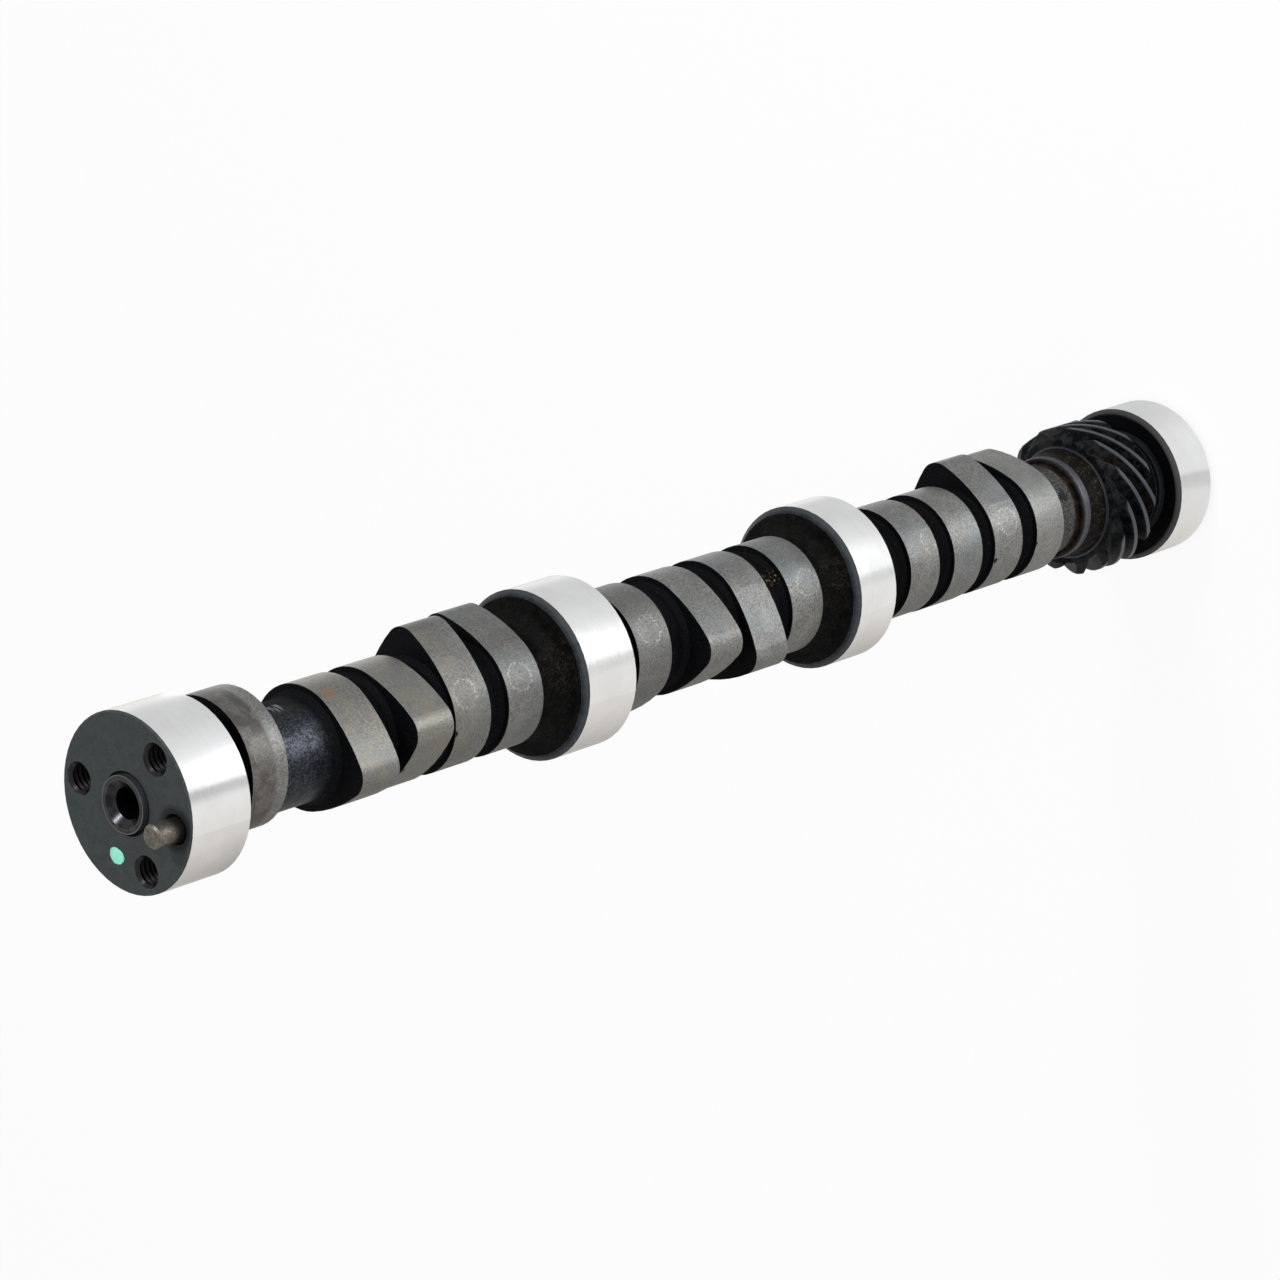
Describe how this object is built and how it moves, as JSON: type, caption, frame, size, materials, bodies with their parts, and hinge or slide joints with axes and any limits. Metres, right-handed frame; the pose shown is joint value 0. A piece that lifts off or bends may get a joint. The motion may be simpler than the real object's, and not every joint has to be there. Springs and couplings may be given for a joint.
{
  "type": "camshaft",
  "caption": "Long cast iron engine camshaft with ground journals, egg-shaped valve lobes, a round eccentric and a helical gear near the rear end.",
  "frame": {"origin": "centre of the rear end face, on the shaft's axis", "axes": "+Z along the shaft from the rear end to the nose, +X towards the dowel pin"},
  "size_m": [0.0474, 0.0474, 0.4349],
  "materials": {
    "casting": "dark phosphate over cast iron, journals ground bright",
    "pin_steel": "plain hardened steel"
  },
  "bodies": {
    "root": {"camshaft": "casting", "dowel_pin": "pin_steel"}
  },
  "joints": []
}
